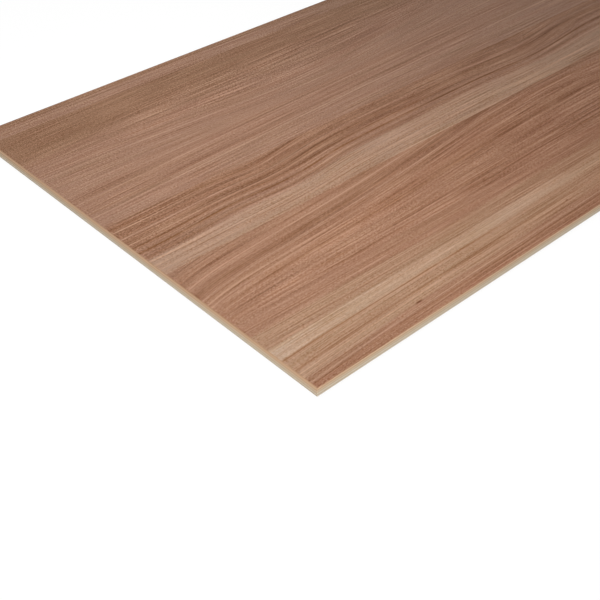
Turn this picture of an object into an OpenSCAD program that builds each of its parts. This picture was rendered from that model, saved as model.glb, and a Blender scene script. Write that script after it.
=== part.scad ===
// Plywood sheet with a decorative hardwood face, lying flat with that face up.
// The face grain runs along X. The origin is the middle of the underside.

/* [Sheet] */
// Length, along the face grain
sheet_length = 1200; // [300:10:3100]
// Width, across the face grain
sheet_width = 600; // [200:10:1530]
// Finished thickness, face to back
sheet_thickness = 12; // [3:0.5:40]

/* [Edges] */
// How far the sawn arrises are sanded back
arris = 0.4; // [0.1:0.1:1]

/* [Hidden] */

// Rectangle a by b about the origin, with a 45 degree cut off each corner
module eased_rectangle(a, b, cut) {
    intersection() {
        square([a, b], center = true);
        rotate(45) square((a + b - 2 * cut) / sqrt(2), center = true);
    }
}

// Board standing on z = 0: three eased prisms cross, one along each axis,
// so that all twelve edges are broken and their cuts meet at the corners
module eased_board(length, width, thickness, cut) {
    translate([0, 0, thickness / 2]) intersection() {
        linear_extrude(thickness, center = true)
            eased_rectangle(length, width, cut);
        rotate([90, 0, 0]) linear_extrude(width, center = true)
            eased_rectangle(length, thickness, cut);
        rotate([90, 0, 90]) linear_extrude(length, center = true)
            eased_rectangle(width, thickness, cut);
    }
}

// Veneers glued up and sawn to size as one board
module plywood_sheet() {
    color("#ab836a")
        eased_board(sheet_length, sheet_width, sheet_thickness, arris);
}

plywood_sheet();
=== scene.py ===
import math

import bpy
import numpy as np
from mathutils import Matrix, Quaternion, Vector


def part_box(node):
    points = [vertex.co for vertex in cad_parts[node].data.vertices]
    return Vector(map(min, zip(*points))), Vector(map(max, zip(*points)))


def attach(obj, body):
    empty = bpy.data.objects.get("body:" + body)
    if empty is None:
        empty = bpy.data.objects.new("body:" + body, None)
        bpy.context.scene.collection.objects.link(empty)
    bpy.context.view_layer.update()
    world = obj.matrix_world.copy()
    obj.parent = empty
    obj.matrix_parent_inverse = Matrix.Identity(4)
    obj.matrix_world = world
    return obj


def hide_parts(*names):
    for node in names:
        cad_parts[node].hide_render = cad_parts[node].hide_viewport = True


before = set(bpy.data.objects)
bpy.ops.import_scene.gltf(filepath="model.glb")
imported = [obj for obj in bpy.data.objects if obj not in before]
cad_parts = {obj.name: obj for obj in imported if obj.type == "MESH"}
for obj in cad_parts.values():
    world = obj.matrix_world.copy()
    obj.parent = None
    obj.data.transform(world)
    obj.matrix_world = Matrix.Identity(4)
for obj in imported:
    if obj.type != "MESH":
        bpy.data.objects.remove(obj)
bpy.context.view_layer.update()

mm = 0.001  # the dictionaries below give millimetres, unless they say otherwise
sheetLow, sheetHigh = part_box("plywood_sheet")
sheetSize = (sheetHigh - sheetLow) / mm
print("sheet read:", [round(side, 1) for side in sheetSize], "mm")

# sizes that the dressed pieces share
board = dict(
    arris=0.4,       # sanded corners, as on the solid
    veneer=0.2,      # face and back veneers, which end half way down the arris
    relief=0.03,     # deepest groove between two fibres
    rowWidth=0.75,   # mesh rows across the grain
    station=12.5,    # mesh stations along the grain
    fade=1.5,        # relief dies away over this near a joint
    sharp=30,        # degrees, edges sharper than this stay crisp
    bump=0.6,        # strength of the bump in every finish
)


# a stack of closed rings: walls of quads from ring to ring, and one face over each end
# each map holds the places of a wall's near and far side, then those of the first and last ends
def ringMesh(name, rings, maps):
    stations, points = rings.shape[:2]
    index = np.arange(stations * points).reshape(stations, points)
    turned = np.roll(index, -1, axis=1)
    walls = np.stack([index[:-1], index[1:], turned[1:], turned[:-1]], axis=-1).reshape(-1, 4)
    faces = walls.tolist() + [index[0].tolist(), index[-1][::-1].tolist()]
    mesh = bpy.data.meshes.new(name)
    mesh.from_pydata((rings.reshape(-1, 3) * mm).tolist(), [], faces)
    for mapName, (near, far, firstEnd, lastEnd) in maps.items():
        corners = np.stack([near[:-1], near[1:], far[1:], far[:-1]], axis=2)
        places = np.concatenate([corners.reshape(-1, 2), firstEnd, lastEnd[::-1]])
        layer = mesh.uv_layers.new(name=mapName)
        layer.uv.foreach_set("vector", places.astype(np.float32).ravel())
    mesh.polygons.foreach_set("use_smooth", np.ones(len(faces), dtype=bool))
    mesh.set_sharp_from_angle(angle=math.radians(board["sharp"]))
    mesh.update()
    piece = bpy.data.objects.new(name, mesh)
    bpy.context.scene.collection.objects.link(piece)
    return piece


# gives a piece its finish, and has it ride on the root and stand for the sheet
def dress(piece, finish):
    piece.data.materials.append(finish)
    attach(piece, "root")
    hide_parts("plywood_sheet")
    print("made", piece.name, "with", len(piece.data.polygons), "faces")


# links another node's output to a socket, or sets a plain value on it
def feed(tree, socket, value):
    if isinstance(value, bpy.types.NodeSocket):
        tree.links.new(value, socket)
    else:
        socket.default_value = value


# one step of arithmetic in the nodes
def calc(tree, what, *values):
    made = tree.nodes.new("ShaderNodeMath")
    made.operation = what
    for socket, value in zip(made.inputs, values):
        feed(tree, socket, value)
    return made.outputs[0]


# value carried from one range to another, eased at both ends
def ease(tree, value, fromLow, fromHigh, toLow=0.0, toHigh=1.0):
    made = tree.nodes.new("ShaderNodeMapRange")
    made.interpolation_type = "SMOOTHSTEP"
    for socket, number in zip(made.inputs, (value, fromLow, fromHigh, toLow, toHigh)):
        feed(tree, socket, number)
    return made.outputs[0]


# the noise of streaks lies about its middle, and nearly all of it between low and high
noiseLow, noiseMiddle, noiseHigh = 0.3, 0.5, 0.7


# noise drawn out along the grain: its spots are about long by wide, and stray keeps them from lining
# up in rows
def streaks(tree, u, v, long, wide, detail=2.0, shift=0.0, stray=0.0):
    place = tree.nodes.new("ShaderNodeCombineXYZ")
    feed(tree, place.inputs[0], calc(tree, "MULTIPLY_ADD", u, 1 / (long * mm), shift))
    feed(tree, place.inputs[1], calc(tree, "MULTIPLY_ADD", v, 1 / (wide * mm), shift))
    made = tree.nodes.new("ShaderNodeTexNoise")
    made.noise_dimensions = "2D"
    feed(tree, made.inputs["Vector"], place.outputs[0])
    feed(tree, made.inputs["Scale"], 1.0)
    feed(tree, made.inputs["Detail"], detail)
    feed(tree, made.inputs["Distortion"], stray)
    return made.outputs["Fac"]


# one colour laid over another by a share from 0 to 1
def blend(tree, how, share, under, over):
    made = tree.nodes.new("ShaderNodeMix")
    made.data_type = "RGBA"
    made.blend_type = how
    feed(tree, made.inputs["Factor"], share)
    colours = [socket for socket in made.inputs if socket.type == "RGBA"]
    feed(tree, colours[0], under)
    feed(tree, colours[1], over)
    return next(socket for socket in made.outputs if socket.type == "RGBA")


# colour as picked on a screen, turned into the light that the nodes work in: the sRGB curve undone
def tone(code):
    shown = [int(code[place:place + 2], 16) / 255 for place in (1, 3, 5)]
    light = [part / 12.92 if part <= 0.04045 else ((part + 0.055) / 1.055) ** 2.4 for part in shown]
    return (*light, 1.0)


# colours laid side by side: stops are (place from 0 to 1, colour)
def toneRamp(tree, value, stops):
    made = tree.nodes.new("ShaderNodeValToRGB")
    marks = made.color_ramp.elements
    while len(marks) < len(stops):
        marks.new(0.5)
    for mark, (place, colour) in zip(marks, stops):
        mark.position = place
        mark.color = tone(colour)
    feed(tree, made.inputs[0], value)
    return made.outputs[0]


# a shade laid on where noise is high: none below the mark's low, its whole share above the mark's high
def shadeBy(tree, noise, mark, ground, shade):
    share = ease(tree, noise, mark["low"], mark["high"], 0, mark["share"])
    return blend(tree, "MULTIPLY", share, ground, tone(shade))


# a new material, with the two coordinates that it reads from one of the piece's maps
def newFinish(name, mapName, specular):
    finish = bpy.data.materials.new(name)
    finish.use_nodes = True
    tree = finish.node_tree
    shader = tree.nodes["Principled BSDF"]
    feed(tree, shader.inputs["Specular IOR Level"], specular)
    place = tree.nodes.new("ShaderNodeUVMap")
    place.uv_map = mapName
    parts = tree.nodes.new("ShaderNodeSeparateXYZ")
    feed(tree, parts.inputs[0], place.outputs[0])
    return finish, tree, shader, parts.outputs[0], parts.outputs[1]


# fine relief: the surface is shaded as if it rose by height times depth
def addBump(tree, shader, height, depth):
    made = tree.nodes.new("ShaderNodeBump")
    feed(tree, made.inputs["Strength"], board["bump"])
    feed(tree, made.inputs["Distance"], depth * mm)
    feed(tree, made.inputs["Height"], height)
    feed(tree, shader.inputs["Normal"], made.outputs[0])


# a single fibre that stands out: place across the leaf at its left end, half width, strength and stretch
def fibreLine(at, wide, share, start=-60, end=1300, kind="dark"):
    return dict(at=at, wide=wide, share=share, start=start, end=end, kind=kind)


# a bend of the fibres: its shape along the grain, how far it shifts them, and the fibres at which it
# starts to act and acts in full; these lie in front of every leaf if not given, so all fibres bend
def bend(shape, height, reach, at=0, start=-200, full=-199):
    return dict(shape=shape, height=height, reach=reach, at=at, start=start, full=full)


# face: five veneer leaves jointed edge to edge, listed from the front edge back
# strength and narrow scale a leaf's grain; a share per leaf sets how much it reddens and darkens half way
# along, partly as wood tone and partly as painted shade for light that falls off towards the far end; zones
# give its tones from the front side to the back
woodTones = dict(
    pale="#c9b19e", cream="#ab8f7d", sand="#b99880", tan="#ad8c74", russet="#a57b64", red="#a3745a",
    flush="#a57d67", rust="#976e57", umber="#875d43", rose="#9a7765", clay="#97725f", dusk="#876248",
)
faceLeaves = [
    dict(
        name="frontLeaf", width=70, seed=3, strength=1.0, narrow=0.85, ripeAndPaintedShade=0.75,
        bends=[bend("settle", 6, 120), bend("settle", -7, 220, start=38, full=60)],
        zones=[(0, "red"), (7, "red"), (9, "russet"), (15, "russet"), (19, "sand"), (48, "sand"),
               (53, "pale"), (70, "pale")],
        lines=[fibreLine(49.2, 2.0, 0.65, end=420), fibreLine(31, 2.8, 0.45, end=520),
               fibreLine(38.8, 1.0, 0.25, end=600), fibreLine(6.6, 1.2, 0.4), fibreLine(13.4, 1.4, 0.2),
               fibreLine(10.5, 0.9, 0.4, kind="light"), fibreLine(25, 1.2, 0.3, end=380, kind="light")],
        flecks=[dict(along=170, at=17.2, long=5.0, wide=1.2), dict(along=445, at=25.4, long=2.5, wide=0.8)],
    ),
    dict(
        name="sweptLeaf", width=160, seed=11, strength=1.0, narrow=0.7, ripeAndPaintedShade=0.9,
        bends=[bend("settle", -14, 700), bend("settle", 10, 45, start=50, full=90),
               bend("settle", 20, 400, start=46, full=104), bend("rise", 45, 200, at=400, start=46, full=104),
               bend("rise", -10, 200, at=400, start=104, full=130),
               bend("rise", -45, 150, at=880, start=46, full=104)],
        zones=[(0, "tan"), (23, "tan"), (28, "russet"), (93, "russet"), (98, "flush"), (100, "flush"),
               (104, "rust"), (112, "rust"), (119, "flush"), (126, "flush"), (131, "rust"), (142, "rust"),
               (155, "clay")],
        lines=[fibreLine(36, 1.0, 0.4, end=300), fibreLine(54, 1.1, 0.5, start=80), fibreLine(60, 1.6, 0.3),
               fibreLine(79, 1.8, 0.35, start=40), fibreLine(81, 10.0, 0.2, start=40),
               fibreLine(96, 1.2, 0.5), fibreLine(107.3, 8.0, 0.4),
               fibreLine(117.5, 1.6, 0.35, start=100), fibreLine(132.5, 2.2, 0.4, start=110),
               fibreLine(21.5, 0.8, 0.3, kind="light"), fibreLine(85.5, 1.8, 0.4, end=220, kind="light"),
               fibreLine(91, 1.4, 0.4, end=230, kind="light"),
               fibreLine(99.6, 1.2, 0.25, end=520, kind="light"), fibreLine(123, 1.4, 0.35, kind="light")],
        flecks=[],
    ),
    dict(
        name="wavyLeaf", width=110, seed=6, strength=1.0, narrow=0.9, ripeAndPaintedShade=0.22,
        bends=[bend("rise", 13, 50, at=280, start=-6, full=16),
               bend("bell", 5, 60, at=140, start=10, full=40),
               bend("bell", -3, 60, at=140, start=56, full=64),
               bend("bell", -3.5, 40, at=205, start=58, full=100),
               bend("bell", -7, 90, at=720, start=0, full=40),
               bend("bell", 6, 110, at=880, start=10, full=60),
               bend("rise", -12, 80, at=1040, start=0, full=50)],
        zones=[(0, "cream"), (28, "cream"), (32, "clay"), (43, "clay"), (47, "umber"), (52, "clay"),
               (57, "umber"), (76, "umber"), (80, "clay"), (84, "umber"), (104, "umber"), (110, "clay")],
        lines=[fibreLine(36, 2.4, 0.5), fibreLine(46.8, 2.2, 0.85), fibreLine(58, 2.0, 0.7, end=620),
               fibreLine(71.5, 1.4, 0.35), fibreLine(70, 7.0, 0.3, start=140), fibreLine(83, 1.6, 0.35),
               fibreLine(100.5, 3.0, 0.45), fibreLine(9.8, 1.1, 0.3, kind="light"),
               fibreLine(18.6, 1.0, 0.4, end=330, kind="light"),
               fibreLine(27.6, 1.2, 0.4, end=260, kind="light"),
               fibreLine(65.5, 1.3, 0.4, end=340, kind="light"),
               fibreLine(79, 1.3, 0.45, end=300, kind="light"),
               fibreLine(94.2, 1.3, 0.45, end=360, kind="light")],
        flecks=[],
    ),
    dict(
        name="plainLeaf", width=230, seed=14, strength=0.75, narrow=0.9, ripeAndPaintedShade=0.08,
        bends=[bend("settle", 30, 700, start=-30, full=20),
               bend("bell", -34, 300, at=420, start=60, full=110),
               bend("bell", 34, 300, at=420, start=144, full=172)],
        zones=[(0, "rose"), (24, "rose"), (32, "clay"), (64, "clay"), (80, "rose"), (130, "rose"),
               (134, "clay"), (152, "clay"), (176, "dusk"), (230, "dusk")],
        lines=[fibreLine(0.7, 1.0, 0.3), fibreLine(30, 1.6, 0.4), fibreLine(58, 1.4, 0.3),
               fibreLine(65.5, 1.4, 0.3), fibreLine(117, 1.2, 0.3, end=700), fibreLine(229.5, 1.6, 0.4),
               fibreLine(22, 1.2, 0.4, kind="light"), fibreLine(54, 1.2, 0.35, kind="light"),
               fibreLine(74, 0.8, 0.35, end=400, kind="light"),
               fibreLine(127, 1.6, 0.3, end=500, kind="light")],
        flecks=[],
    ),
    dict(
        name="rearLeaf", width=30, seed=8, strength=0.85, narrow=1.0, ripeAndPaintedShade=0.0,
        bends=[bend("settle", 3, 300)],
        zones=[(0, "rose"), (17, "rose"), (23, "dusk"), (30, "dusk")],
        lines=[fibreLine(20, 1.2, 0.4)],
        flecks=[],
    ),
]


# how far the bends shift a fibre: each has its height, times a share that grows from 0 at its start to
# 1 where it acts in full, times its shape along the grain
# with t = (x - at) / reach it settles as 1 - e^(-t), rises as half of 1 + tanh(t), or is the bell e^(-t^2)
def fibreShift(bends, x, v):
    shift = np.zeros_like(x)
    for part in bends:
        share = np.clip((v - part["start"]) / (part["full"] - part["start"]), 0, 1)
        t = (x - part["at"]) / part["reach"]
        along = dict(settle=1 - np.exp(-t), rise=0.5 + 0.5 * np.tanh(t), bell=np.exp(-t ** 2))
        shift = shift + share * part["height"] * along[part["shape"]]
    return shift


# a fibre's own height v: the one that its shift brings to this place across the leaf, found by halving a span
search = dict(span=120, halvings=20)


def fibreHeight(bends, x, across):
    low = across - search["span"]
    high = across + search["span"]
    for halving in range(search["halvings"]):
        middle = (low + high) / 2
        above = middle + fibreShift(bends, x, middle) > across
        low = np.where(above, low, middle)
        high = np.where(above, middle, high)
    return (low + high) / 2


# grooves between fibres: a sum of sine ripples across the fibres, whose phases drift slowly along them,
# brought to run from 0, proud, to 1, sunk
ripple = dict(count=9, narrow=2.4, broad=9.0, drift=1.5, driftShort=60, driftLong=200, seed=12)


def fibreRelief(u, v):
    draw = np.random.default_rng(ripple["seed"])
    turn = 2 * math.pi
    total = np.zeros_like(u)
    for wave in draw.uniform(ripple["narrow"], ripple["broad"], ripple["count"]):
        reach = draw.uniform(ripple["driftShort"], ripple["driftLong"])
        drift = ripple["drift"] * np.sin(u / reach + draw.uniform(0, turn))
        total = total + np.sin(turn * v / wave + drift + draw.uniform(0, turn))
    return 0.5 + 0.5 * np.clip(total / math.sqrt(2 * ripple["count"]), -1, 1)


# where a slab's sides lie in its bake map: the show side fills nearly all of the square
bakeSquare = dict(show=0.94, wall=0.015, along=0.98, endWide=0.006, firstEnd=0.985, lastEnd=0.993)


# veneer slab: a flat closed profile across the grain, carried along it in straight stations
# the show side sinks by the relief, and sides on the sheet's own outline slope in along the sanded arris
def veneerSlab(name, bends, front, back, outerFront, outerBack, showUp):
    arris, veneer = board["arris"], board["veneer"]
    xLow, xHigh = sheetLow.x / mm, sheetHigh.x / mm
    zShow = sheetHigh.z / mm if showUp else sheetLow.z / mm
    inward = -1 if showUp else 1
    glueInset = arris - veneer
    rows = int((back - front) / board["rowWidth"]) + 1
    showY = np.linspace(front + arris * outerFront, back - arris * outerBack, rows)
    glueY = np.array([back - glueInset * outerBack, front + glueInset * outerFront])
    showX = np.linspace(xLow + arris, xHigh - arris, int(sheetSize.x / board["station"]) + 1)
    glueX = showX.copy()
    glueX[[0, -1]] = xLow + glueInset, xHigh - glueInset

    x, y = np.meshgrid(showX, showY, indexing="ij")
    height = fibreHeight(bends, x - xLow, y - front)
    fade = np.clip(np.minimum(y - showY[0], showY[-1] - y) / board["fade"], 0, 1)
    sunk = board["relief"] * fade * fibreRelief(x - xLow, height + front)
    show = np.stack([x, y, zShow + inward * sunk], axis=-1)
    gx, gy = np.meshgrid(glueX, glueY, indexing="ij")
    glue = np.stack([gx, gy, np.full_like(gx, zShow + inward * veneer)], axis=-1)
    rings = np.concatenate([show, glue], axis=1)

    # fibre map: metres along the grain, and metres across from the leaf's front side
    heights = np.concatenate([height, fibreHeight(bends, gx - xLow, gy - front)], axis=1)
    fibre = np.stack([rings[..., 0] - xLow, heights], axis=-1) * mm
    fibre = np.concatenate([fibre, fibre[:, :1]], axis=1)

    # bake map: the show side, then the back wall, glue side and front wall in strips beside it
    share, wall = bakeSquare["show"], bakeSquare["wall"]
    across = np.append(share * (showY - showY[0]) / (showY[-1] - showY[0]), [share + wall, 1 - wall, 1])
    along = bakeSquare["along"] * (showX - showX[0]) / (showX[-1] - showX[0])
    bake = np.stack(np.meshgrid(along, across, indexing="ij"), axis=-1)
    endAcross = np.append(across[:rows], [share, 0])
    end = np.stack([bakeSquare["endWide"] * (np.arange(rows + 2) >= rows), endAcross], axis=-1)
    if not showUp:
        rings, fibre, bake = rings[::-1], fibre[::-1], bake[::-1]
    firstEnd = end + (bakeSquare["firstEnd"], 0)
    lastEnd = end + (bakeSquare["lastEnd"], 0)
    maps = dict(
        Fibre=(fibre[:, :-1], fibre[:, 1:], fibre[0, :-1], fibre[-1, :-1]),
        OFBake=(bake[:, :-1], bake[:, 1:], firstEnd, lastEnd),
    )
    return ringMesh(name, rings, maps)


# grain: noise layers from coarse to fine, whose high side darkens the ground and whose low side lightens it
# gap is the quiet part about the middle, and soft the stretch over which a side comes on
# each shift moves one noise away from the others
grain = dict(
    wander=dict(long=320, wide=24, height=0.7),
    quiet=dict(long=150, wide=26, shift=30, low=0.36, high=0.6, least=0.85),
    layerShift=3,
    layers=[
        dict(long=420, wide=13, detail=2, stray=0.3, gap=0.02, soft=0.22, dark=0.13, light=0.07),
        dict(long=600, wide=2.6, detail=1, stray=0.2, gap=0.04, soft=0.14, dark=0.24, light=0.11),
        dict(long=400, wide=1.3, detail=1, stray=0.15, gap=0.06, soft=0.09, dark=0.40, light=0.20),
        dict(long=120, wide=0.6, detail=1, stray=0.2, gap=0.04, soft=0.10, dark=0.84, light=0.42),
        dict(long=2.6, wide=0.45, detail=1, stray=0.4, gap=0.02, soft=0.16, dark=0.98, light=0.47),
    ],
    blush=dict(long=180, wide=9, shift=20, low=0.32, high=0.68, share=0.36, red="#fff1ea", olive="#f4f9ea"),
    pores=dict(long=8, wide=0.4, detail=1, shift=40, low=0.64, high=0.74, share=0.4),
    dark="#cbaf84", light="#e3b89b", pore="#a88e78",
    streakSunk=0.6, poreSunk=1.0,  # shares of a finish's bump depth
)


# lays the grain on a ground colour: gives the new colour, the finest streaks and the pores
def layGrain(tree, u, v, ground, seed, strength, narrow):
    dark, light = tone(grain["dark"]), tone(grain["light"])
    blush, quiet, pores = grain["blush"], grain["quiet"], grain["pores"]
    hue = streaks(tree, u, v, blush["long"], blush["wide"], shift=seed + blush["shift"])
    redShare = ease(tree, hue, noiseMiddle, blush["high"], 0, blush["share"])
    ground = blend(tree, "MULTIPLY", redShare, ground, tone(blush["red"]))
    oliveShare = ease(tree, hue, noiseMiddle, blush["low"], 0, blush["share"])
    ground = blend(tree, "MULTIPLY", oliveShare, ground, tone(blush["olive"]))
    calm = streaks(tree, u, v, quiet["long"], quiet["wide"], shift=seed + quiet["shift"])
    busy = ease(tree, calm, quiet["low"], quiet["high"], quiet["least"] * strength, strength)
    for number, layer in enumerate(grain["layers"]):
        wide = layer["wide"] * narrow
        shift = seed + grain["layerShift"] * number
        fine = streaks(tree, u, v, layer["long"], wide, layer["detail"], shift, layer["stray"])
        highFrom = noiseMiddle + layer["gap"]
        lowFrom = noiseMiddle - layer["gap"]
        shade = ease(tree, fine, highFrom, highFrom + layer["soft"], 0, layer["dark"])
        shine = ease(tree, fine, lowFrom, lowFrom - layer["soft"], 0, layer["light"])
        ground = blend(tree, "MULTIPLY", calc(tree, "MULTIPLY", shade, busy), ground, dark)
        ground = blend(tree, "MIX", calc(tree, "MULTIPLY", shine, busy), ground, light)
    spots = streaks(tree, u, v, pores["long"], pores["wide"], pores["detail"], seed + pores["shift"])
    dots = ease(tree, spots, pores["low"], pores["high"])
    share = calc(tree, "MULTIPLY", dots, pores["share"] * strength)
    return blend(tree, "MULTIPLY", share, ground, tone(grain["pore"])), fine, dots


# the finest streaks and the pores, sunk into the surface
def grainBump(tree, shader, fine, dots, depth):
    sunkPores = calc(tree, "MULTIPLY", dots, -grain["poreSunk"])
    addBump(tree, shader, calc(tree, "MULTIPLY_ADD", fine, -grain["streakSunk"], sunkPores), depth)


# the fibre map's height, with a slow wander added
def wanderedHeight(tree, u, v, seed):
    wander = grain["wander"]
    noise = streaks(tree, u, v, wander["long"], wander["wide"], shift=seed)
    slow = calc(tree, "SUBTRACT", noise, noiseMiddle)
    return calc(tree, "MULTIPLY_ADD", slow, 2 * wander["height"] * mm, v)


# veneer finish: tone zones across the fibres, the grain, then the fibres and flecks that stand out
veneerLook = dict(
    lineDark="#bc9547", lineLight="#e3b89b", lineFade=60, lineEnd=140,
    broken=dict(long=45, wide=6, shift=50, low=0.36, high=0.56, least=0.55),
    fleck=dict(shade="#a0641e", share=0.85, core=0.3, rim=1.4),  # core, rim: squared distance in half sizes
    # a bell along each leaf that reddens and darkens it: partly wood tone, partly painted shade for light
    # falling off towards the far end
    ripeAndPaintedShade=dict(shade="#e6d0bd", at=620, reach=300),
    roughness=(0.50, 0.62), specular=0.12, bumpDepth=0.05,
)


def leafFinish(leaf):
    look = veneerLook
    ripeAndPaintedShade, broken, spot = look["ripeAndPaintedShade"], look["broken"], look["fleck"]
    finish, tree, shader, u, across = newFinish(leaf["name"] + "Finish", "Fibre", look["specular"])
    v = wanderedHeight(tree, u, across, leaf["seed"])
    stops = [(at / leaf["width"], woodTones[name]) for at, name in leaf["zones"]]
    ground = toneRamp(tree, calc(tree, "DIVIDE", v, leaf["width"] * mm), stops)
    # painted shade mixed with wood tone: the bell darkens and reddens the leaf half way along
    away = calc(tree, "DIVIDE", calc(tree, "SUBTRACT", u, ripeAndPaintedShade["at"] * mm), ripeAndPaintedShade["reach"] * mm)
    bell = calc(tree, "EXPONENT", calc(tree, "MULTIPLY", calc(tree, "MULTIPLY", away, away), -1.0))
    redderAndShaded = calc(tree, "MULTIPLY", bell, leaf["ripeAndPaintedShade"])  # most about half way along
    ground = blend(tree, "MULTIPLY", redderAndShaded, ground, tone(ripeAndPaintedShade["shade"]))
    ground, fine, dots = layGrain(tree, u, v, ground, leaf["seed"], leaf["strength"], leaf["narrow"])

    patchy = streaks(tree, u, v, broken["long"], broken["wide"], shift=leaf["seed"] + broken["shift"])
    whole = ease(tree, patchy, broken["low"], broken["high"], broken["least"], 1)
    for line in leaf["lines"]:  # bell across the fibre, broken along it and fading at both ends
        off = calc(tree, "ABSOLUTE", calc(tree, "SUBTRACT", v, line["at"] * mm))
        near = calc(tree, "MULTIPLY", ease(tree, off, 0, line["wide"] * mm, line["share"], 0), whole)
        begun = ease(tree, u, line["start"] * mm, (line["start"] + look["lineFade"]) * mm)
        going = ease(tree, u, (line["end"] - look["lineEnd"]) * mm, line["end"] * mm, 1, 0)
        share = calc(tree, "MULTIPLY", near, calc(tree, "MULTIPLY", begun, going))
        if line["kind"] == "dark":
            ground = blend(tree, "MULTIPLY", share, ground, tone(look["lineDark"]))
        else:
            ground = blend(tree, "MIX", share, ground, tone(look["lineLight"]))
    for fleck in leaf["flecks"]:  # small dark ellipse along the fibre
        du = calc(tree, "DIVIDE", calc(tree, "SUBTRACT", u, fleck["along"] * mm), fleck["long"] * mm)
        dv = calc(tree, "DIVIDE", calc(tree, "SUBTRACT", v, fleck["at"] * mm), fleck["wide"] * mm)
        far = calc(tree, "ADD", calc(tree, "MULTIPLY", du, du), calc(tree, "MULTIPLY", dv, dv))
        share = ease(tree, far, spot["core"], spot["rim"], spot["share"], 0)
        ground = blend(tree, "MULTIPLY", share, ground, tone(spot["shade"]))

    feed(tree, shader.inputs["Base Color"], ground)
    feed(tree, shader.inputs["Roughness"], ease(tree, fine, noiseLow, noiseHigh, *look["roughness"]))
    grainBump(tree, shader, fine, dots, look["bumpDepth"])
    return finish


leafFront = sheetLow.y / mm
for number, leaf in enumerate(faceLeaves):
    first, last = number == 0, number == len(faceLeaves) - 1
    leafBack = sheetHigh.y / mm if last else leafFront + leaf["width"]
    slab = veneerSlab(leaf["name"], leaf["bends"], leafFront, leafBack, first, last, showUp=True)
    dress(slab, leafFinish(leaf))
    leafFront = leafBack


# core: the plies between the two veneers, seen on the four sawn edges
core = dict(
    plies=7,
    sunk=0.04,        # end grain cut back from the long grain beside it
    step=0.08,        # half height of the step at a glue line
    leastCut=0.02,    # keeps the corner cut from closing up
    sideSteps=96, endSteps=48,
    # ply tones from the bottom ply to the top: the peach near the top is the plies' own tone, the paler grey
    # towards the bottom is partly painted light, the glow of the white background along the lower edge
    tones=[(0, "#d8cfc0"), (0.35, "#d2c6b2"), (0.6, "#d0bca3"), (0.85, "#d0b498"), (1, "#d4b192")],
    endShade="#ece3d9", grainShade="#e3d5c4", speckShade="#d0bfac", glueTone="#bfa98f",
    wave=dict(long=70, wide=40, height=0.5),  # how the plies waver
    drift=dict(long=300, wide=3.7, detail=1, apart=10, low=0.4, high=0.75, share=0.4),  # tone along one ply
    fibres=dict(long=40, wide=0.35, low=0.45, high=0.75, share=0.4),
    specks=dict(long=0.7, wide=0.5, low=0.42, high=0.7, share=0.6, bump=0.7),
    glue=dict(core=0.02, rim=0.1, share=0.45),  # core and rim: half widths in shares of a ply
    saw=dict(long=1.1, wide=30, detail=1),
    specular=0.25, roughness=(0.62, 0.78), bumpDepth=0.08,
)

# where the core lies in its bake map: a strip for each of its four sides, and two hidden flats below them
coreBake = dict(first=0.06, apart=0.235, fill=0.96, flatLong=0.48, flatWide=0.05, nextFlat=0.5)


# rectangle with cut corners, walked clockwise from above: four straight sides in even steps
def sheetOutline(inset, cut):
    halfLong = sheetSize.x / 2 - inset
    halfWide = sheetSize.y / 2 - inset
    along = np.linspace(-1, 1, core["sideSteps"] + 1)
    across = np.linspace(-1, 1, core["endSteps"] + 1)
    rear = np.stack([along * (halfLong - cut), np.full_like(along, halfWide)], axis=-1)
    right = np.stack([np.full_like(across, halfLong), -across * (halfWide - cut)], axis=-1)
    return np.concatenate([rear, right, -rear, -right])


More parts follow.
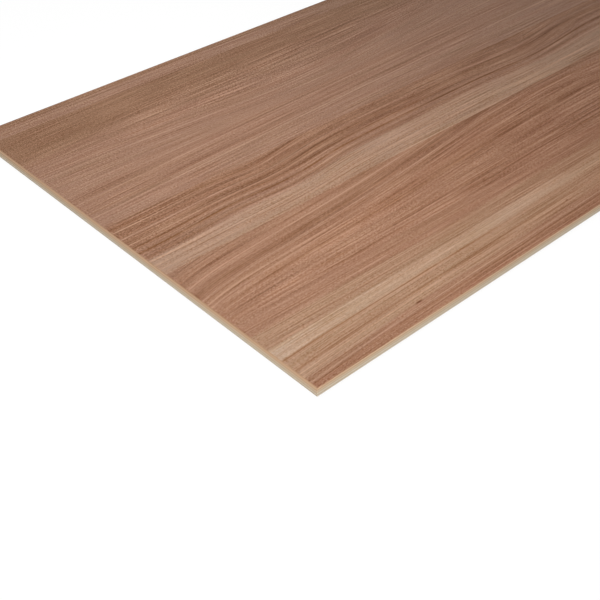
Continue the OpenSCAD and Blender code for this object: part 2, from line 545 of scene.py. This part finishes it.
# ply core: the outline stacked level by level, drawn in where a ply shows end grain
def plyCore():
    arris, veneer = board["arris"], board["veneer"]
    thick = sheetSize.z
    plyTall = (thick - 2 * veneer) / core["plies"]
    seams = veneer + plyTall * np.arange(1, core["plies"])
    steps = (seams[:, None] + (-core["step"], core["step"])).ravel()
    levels = np.concatenate([[veneer, arris], steps, [thick - arris, thick - veneer]])
    insets = np.zeros(len(levels))
    insets[[0, -1]] = arris - veneer
    perSide = (core["sideSteps"] + 1, core["endSteps"] + 1) * 2
    onEnd = np.repeat([0, 1, 0, 1], perSide)
    plyOf = np.clip(((levels - veneer) / plyTall).astype(int), 0, core["plies"] - 1)
    flat = np.array([sheetOutline(inset, max(arris - 2 * inset, core["leastCut"])) for inset in insets])
    drawn = core["sunk"] * ((plyOf[:, None] + onEnd) % 2)
    away = np.stack([np.sign(flat[..., 0]) * onEnd, np.sign(flat[..., 1]) * (1 - onEnd)], axis=-1)
    flat = flat - away * drawn[..., None]
    middle = (sheetLow + sheetHigh) / 2 / mm
    rise = np.broadcast_to(levels[:, None, None], flat.shape[:2] + (1,))
    rings = np.concatenate([flat + tuple(middle.xy), rise + sheetLow.z / mm], axis=-1)

    # edge map: metres round the sheet and metres up, lifted by one ply on the two ends
    outline = sheetOutline(0, arris)
    lengths = np.linalg.norm(np.roll(outline, -1, axis=0) - outline, axis=1)
    begin = np.append(0, np.cumsum(lengths))
    lift = levels[:, None] + onEnd * plyTall
    near = np.stack([np.broadcast_to(begin[:-1], lift.shape), lift], axis=-1) * mm
    far = np.stack([np.broadcast_to(begin[1:], lift.shape), lift], axis=-1) * mm
    # bake map: places along each side's strip, and up it
    stripOf = np.repeat(np.arange(4), perSide)
    sideAt = np.concatenate([np.arange(count) / count for count in perSide])
    sideTo = np.concatenate([np.arange(1, count + 1) / count for count in perSide])
    up = (levels - levels[0]) / (levels[-1] - levels[0])
    strip = coreBake["first"] + coreBake["apart"] * (stripOf + coreBake["fill"] * up[:, None])
    bakeNear = np.stack([np.broadcast_to(sideAt, strip.shape), strip], axis=-1)
    bakeFar = np.stack([np.broadcast_to(sideTo, strip.shape), strip], axis=-1)
    hidden = (outline / sheetSize.xy + 0.5) * (coreBake["flatLong"], coreBake["flatWide"])
    maps = dict(
        Edge=(near, far, near[0], near[-1]),
        OFBake=(bakeNear, bakeFar, hidden, hidden + (coreBake["nextFlat"], 0)),
    )
    return ringMesh("plyCore", rings, maps), plyTall


# sawn edge finish: plies by turns long grain and end grain, with a thin glue line between them
def edgeFinish(plyTall):
    wave, drift, fibres = core["wave"], core["drift"], core["fibres"]
    specks, glue, saw = core["specks"], core["glue"], core["saw"]
    finish, tree, shader, u, height = newFinish("sawnEdgeFinish", "Edge", core["specular"])
    waver = calc(tree, "SUBTRACT", streaks(tree, u, height, wave["long"], wave["wide"]), noiseMiddle)
    v = calc(tree, "MULTIPLY_ADD", waver, wave["height"] * mm, height)
    count = calc(tree, "DIVIDE", calc(tree, "SUBTRACT", v, board["veneer"] * mm), plyTall * mm)
    ply = calc(tree, "FLOOR", count)
    endGrain = calc(tree, "MODULO", ply, 2.0)
    within = calc(tree, "FRACT", count)
    nearGlue = calc(tree, "MINIMUM", within, calc(tree, "SUBTRACT", 1.0, within))

    # tone by ply, paler towards the bottom: partly painted light from the white background
    ground = toneRamp(tree, calc(tree, "DIVIDE", ply, core["plies"] - 1), core["tones"])
    plyPlace = calc(tree, "MULTIPLY", ply, drift["apart"] * mm)
    plyNoise = streaks(tree, u, plyPlace, drift["long"], drift["wide"], drift["detail"])
    ground = shadeBy(tree, plyNoise, drift, ground, core["grainShade"])
    fibreNoise = streaks(tree, u, v, fibres["long"], fibres["wide"])
    longGround = shadeBy(tree, fibreNoise, fibres, ground, core["grainShade"])
    speckle = streaks(tree, u, v, specks["long"], specks["wide"])
    endGround = blend(tree, "MULTIPLY", 1.0, ground, tone(core["endShade"]))
    endGround = shadeBy(tree, speckle, specks, endGround, core["speckShade"])
    ground = blend(tree, "MIX", endGrain, longGround, endGround)
    glueShare = ease(tree, nearGlue, glue["core"], glue["rim"], glue["share"], 0)
    ground = blend(tree, "MIX", glueShare, ground, tone(core["glueTone"]))

    feed(tree, shader.inputs["Base Color"], ground)
    feed(tree, shader.inputs["Roughness"], ease(tree, speckle, noiseLow, noiseHigh, *core["roughness"]))
    sawMarks = streaks(tree, u, v, saw["long"], saw["wide"], saw["detail"])
    addBump(tree, shader, calc(tree, "MULTIPLY_ADD", speckle, specks["bump"], sawMarks), core["bumpDepth"])
    return finish


edgePiece, plyTall = plyCore()
dress(edgePiece, edgeFinish(plyTall))


# back: one plain pale veneer, nearly straight in the grain
backing = dict(
    seed=17,
    bends=[bend("settle", 10, 500, start=0, full=600), bend("bell", 6, 180, at=400, start=0, full=600),
           bend("bell", -7, 200, at=850, start=0, full=600)],
    tones=[(0, "#bb9b78"), (0.45, "#c3a682"), (0.6, "#cab190"), (1, "#c1a27e")],
    band=dict(long=900, wide=60, detail=3), strength=0.7, narrow=1.0,
    specular=0.25, roughness=(0.6, 0.72), bumpDepth=0.05,
)


def backFinish():
    finish, tree, shader, u, across = newFinish("backVeneerFinish", "Fibre", backing["specular"])
    v = wanderedHeight(tree, u, across, backing["seed"])
    band = backing["band"]
    bandNoise = streaks(tree, u, v, band["long"], band["wide"], band["detail"])
    ground = toneRamp(tree, ease(tree, bandNoise, noiseLow, noiseHigh), backing["tones"])
    ground, fine, dots = layGrain(tree, u, v, ground, backing["seed"], backing["strength"], backing["narrow"])
    feed(tree, shader.inputs["Base Color"], ground)
    feed(tree, shader.inputs["Roughness"], ease(tree, fine, noiseLow, noiseHigh, *backing["roughness"]))
    grainBump(tree, shader, fine, dots, backing["bumpDepth"])
    return finish


backSlab = veneerSlab(
    "backVeneer", backing["bends"], sheetLow.y / mm, sheetHigh.y / mm, True, True, showUp=False)
dress(backSlab, backFinish())


# studio, in metres and watts: white floor that keeps a faint shadow, white surround, a soft lamp over the
# near part of the sheet and a low one in front for the edges
studio = dict(
    floorWide=12.0, floorDrop=0.0002, floorPaint=0.9, floorWhite=1.05, shadowShare=0.12, surround=0.4,
    lamps=[
        dict(name="softLamp", at=(-0.45, 0.0, 0.65), aim=(-0.65, 0.05, 0), wide=0.7, power=3.0),
        dict(name="frontFill", at=(-1.50, -1.35, 0.35), aim=(-0.60, -0.30, 0), wide=0.9, power=13.0),
    ],
)


# 1 for rays that see the background as a picture: from the camera, in a reflection or through glass
def seenRay(tree):
    path = tree.nodes.new("ShaderNodeLightPath")
    seen = calc(tree, "MAXIMUM", path.outputs["Is Camera Ray"], path.outputs["Is Glossy Ray"])
    return calc(tree, "MAXIMUM", seen, path.outputs["Is Transmission Ray"])


def whiteFloor():
    half = studio["floorWide"] / 2
    z = sheetLow.z - studio["floorDrop"]
    corners = [(-half, -half, z), (half, -half, z), (half, half, z), (-half, half, z)]
    mesh = bpy.data.meshes.new("floor")
    mesh.from_pydata(corners, [], [(0, 1, 2, 3)])
    floor = bpy.data.objects.new("floor", mesh)
    bpy.context.scene.collection.objects.link(floor)
    paint = bpy.data.materials.new("floorPaint")
    paint.use_nodes = True
    tree = paint.node_tree
    tree.nodes.clear()
    matt = tree.nodes.new("ShaderNodeBsdfDiffuse")
    feed(tree, matt.inputs["Color"], (*[studio["floorPaint"]] * 3, 1))
    white = tree.nodes.new("ShaderNodeEmission")
    feed(tree, white.inputs["Strength"], studio["floorWhite"])
    # seen as white, with a share of the lit floor and its shadow
    seen = tree.nodes.new("ShaderNodeMixShader")
    feed(tree, seen.inputs[0], calc(tree, "MULTIPLY", seenRay(tree), 1 - studio["shadowShare"]))
    feed(tree, seen.inputs[1], matt.outputs[0])
    feed(tree, seen.inputs[2], white.outputs[0])
    out = tree.nodes.new("ShaderNodeOutputMaterial")
    feed(tree, out.inputs["Surface"], seen.outputs[0])
    mesh.materials.append(paint)


def whiteSurround():
    world = bpy.data.worlds.new("surround")
    world.use_nodes = True
    tree = world.node_tree
    ground = tree.nodes["Background"]
    feed(tree, ground.inputs["Color"], (1, 1, 1, 1))
    feed(tree, ground.inputs["Strength"], ease(tree, seenRay(tree), 0, 1, studio["surround"], 1))
    bpy.context.scene.world = world


def softLamp(setting):
    lamp = bpy.data.lights.new(setting["name"], "AREA")
    lamp.shape = "DISK"
    lamp.size = setting["wide"]
    lamp.energy = setting["power"]
    holder = bpy.data.objects.new(setting["name"], lamp)
    holder.location = setting["at"]
    holder.rotation_mode = "QUATERNION"
    holder.rotation_quaternion = (Vector(setting["aim"]) - Vector(setting["at"])).to_track_quat("-Z", "Y")
    bpy.context.scene.collection.objects.link(holder)


whiteFloor()
whiteSurround()
for setting in studio["lamps"]:
    softLamp(setting)
print("studio set")

# camera: stands off the front corner and looks down on the sheet, turned a little about its line of sight
eye = dict(
    at=(-1.1641, -0.8194, 0.7563), heading=(0.7165, 0.6976), down=39.714, turn=3.023,
    lens=67.23, sensor=36.0,
)
lens = bpy.data.cameras.new("eye")
lens.lens = eye["lens"]
lens.sensor_width = eye["sensor"]
camera = bpy.data.objects.new("eye", lens)
bpy.context.scene.collection.objects.link(camera)
down = math.radians(eye["down"])
sight = Vector((eye["heading"][0] * math.cos(down), eye["heading"][1] * math.cos(down), -math.sin(down)))
camera.location = eye["at"]
camera.rotation_mode = "QUATERNION"
camera.rotation_quaternion = sight.to_track_quat("-Z", "Y") @ Quaternion((0, 0, 1), math.radians(eye["turn"]))
bpy.context.scene.camera = camera
bpy.context.scene.view_settings.view_transform = "Standard"
print("camera set")
